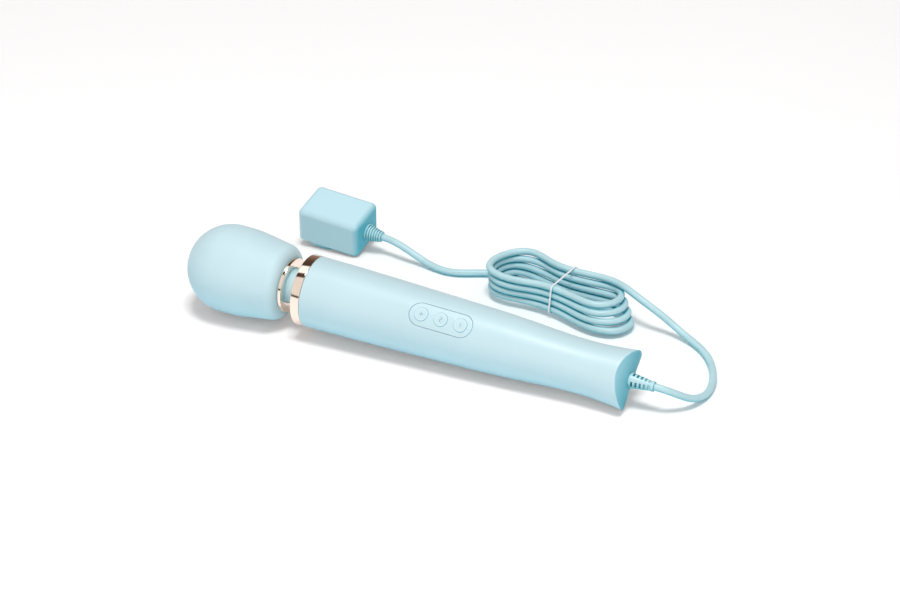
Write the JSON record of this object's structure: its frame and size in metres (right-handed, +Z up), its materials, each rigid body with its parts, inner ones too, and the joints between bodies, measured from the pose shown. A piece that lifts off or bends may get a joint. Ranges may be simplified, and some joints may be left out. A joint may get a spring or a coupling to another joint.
{
  "type": "handheld wand massager",
  "caption": "Handheld wand massager with a round silicone head on a flexible neck, three push buttons on a tapering handle, and a bundled cord to a folding-blade mains adapter.",
  "frame": {"origin": "on the floor, at the middle of the footprint of the wand, bundled cord and adapter laid out together", "axes": "+X along the wand from its head towards its tail, +Y from the wand towards the bundled cord, +Z up"},
  "size_m": [0.3784, 0.1662, 0.0626],
  "materials": {
    "aqua_silicone": "soft matte silicone",
    "aqua_satin_plastic": "satin",
    "aqua_cord": "smooth flexible cord jacket",
    "rose_gold": "polished rose gold plating",
    "inner_plastic": "moulded light grey",
    "dark_plastic": "moulded black",
    "steel": "zinc-plated steel",
    "bronze": "sintered bronze",
    "copper": "enamelled copper",
    "ferrite": "sintered ferrite",
    "carbon": "pressed carbon",
    "circuit_board": "green solder mask",
    "black_rubber": "moulded rubber",
    "white_tie": "thin white plastic",
    "blade_brass": "nickel-plated brass",
    "lead_wire": "wire insulation"
  },
  "bodies": {
    "handle": {"neck_anchor_handle": "inner_plastic", "neck_anchor_screws": "steel", "handle_collar": "rose_gold", "handle_tube": "aqua_satin_plastic", "button_panel": "aqua_satin_plastic", "keypad_seal": "aqua_silicone", "switch_housings": "dark_plastic", "switch_domes": "steel", "carrier": "inner_plastic", "main_board": "circuit_board", "board_components": "dark_plastic", "board_screws": "steel", "power_leads": "lead_wire", "cord_clamp": "inner_plastic", "cord_clamp_screws": "steel", "tail_cap": "aqua_satin_plastic", "tail_strain_relief": "aqua_cord", "adapter_body": "aqua_satin_plastic", "adapter_base": "aqua_satin_plastic", "plug_plate": "aqua_satin_plastic", "blade_contacts": "blade_brass", "adapter_board": "circuit_board", "transformer_core": "ferrite", "transformer_winding": "copper", "adapter_capacitors": "dark_plastic", "adapter_strain_relief": "aqua_cord", "cord": "aqua_cord", "cord_tie": "white_tie"},
    "neck": {"neck_sleeve": "aqua_silicone", "neck_spring": "steel", "motor_leads": "lead_wire"},
    "head": {"head_cover": "aqua_silicone", "head_cage_upper": "inner_plastic", "head_cage_lower": "inner_plastic", "head_cage_screws": "steel", "head_collar": "rose_gold", "motor_isolators": "black_rubber", "motor_can": "steel", "motor_magnets": "ferrite", "motor_end_bell": "dark_plastic", "motor_bushes": "bronze", "motor_brushes": "carbon", "neck_anchor_head": "inner_plastic"},
    "motor_rotor": {"motor_shaft": "steel", "motor_armature": "steel", "motor_commutator": "copper", "eccentric_weight": "steel"},
    "button_plus": {"button_plus": "aqua_satin_plastic", "plunger_plus": "dark_plastic"},
    "button_mode": {"button_mode": "aqua_satin_plastic", "plunger_mode": "dark_plastic"},
    "button_minus": {"button_minus": "aqua_satin_plastic", "plunger_minus": "dark_plastic"},
    "plug_blades": {"plug_blades": "blade_brass", "blade_hub": "dark_plastic"}
  },
  "joints": [
    {"name": "neck_bend_across", "type": "hinge", "parent": "handle", "child": "neck", "pos_m": [-0.10399, -0.05207, 0.02932], "axis": [0.028, 0.7108, 0.7028], "range_deg": [-15, 15], "stiffness_Nm_per_rad": 8, "deforming": ["neck_sleeve", "neck_spring", "motor_leads"]},
    {"name": "neck_bend_sideways", "type": "hinge", "parent": "neck", "child": "head", "pos_m": [-0.10399, -0.05207, 0.02932], "axis": [0.0283, -0.7034, 0.7102], "range_deg": [-15, 15], "stiffness_Nm_per_rad": 8, "deforming": ["neck_sleeve", "neck_spring", "motor_leads"]},
    {"name": "motor_spin", "type": "hinge", "parent": "head", "child": "motor_rotor", "pos_m": [-0.16519, -0.05207, 0.03176], "axis": [0.9992, 0, -0.0398], "continuous": true},
    {"name": "plus_button_press", "type": "slide", "parent": "handle", "child": "button_plus", "axis": [-0.0283, 0.7034, -0.7102], "range_m": [0, 0.0006], "stiffness_N_per_m": 2500, "springref_m": -0.0002, "deforming": ["keypad_seal", "switch_domes"]},
    {"name": "mode_button_press", "type": "slide", "parent": "handle", "child": "button_mode", "axis": [-0.0283, 0.7034, -0.7102], "range_m": [0, 0.0006], "stiffness_N_per_m": 2500, "springref_m": -0.0002, "deforming": ["keypad_seal", "switch_domes"]},
    {"name": "minus_button_press", "type": "slide", "parent": "handle", "child": "button_minus", "axis": [-0.0283, 0.7034, -0.7102], "range_m": [0, 0.0006], "stiffness_N_per_m": 2500, "springref_m": -0.0002, "deforming": ["keypad_seal", "switch_domes"]},
    {"name": "plug_blades_fold", "type": "hinge", "parent": "handle", "child": "plug_blades", "pos_m": [-0.13458, 0.06631, 0.00579], "axis": [-0.0223, -0.9836, -0.1788], "range_deg": [0, 90]}
  ]
}
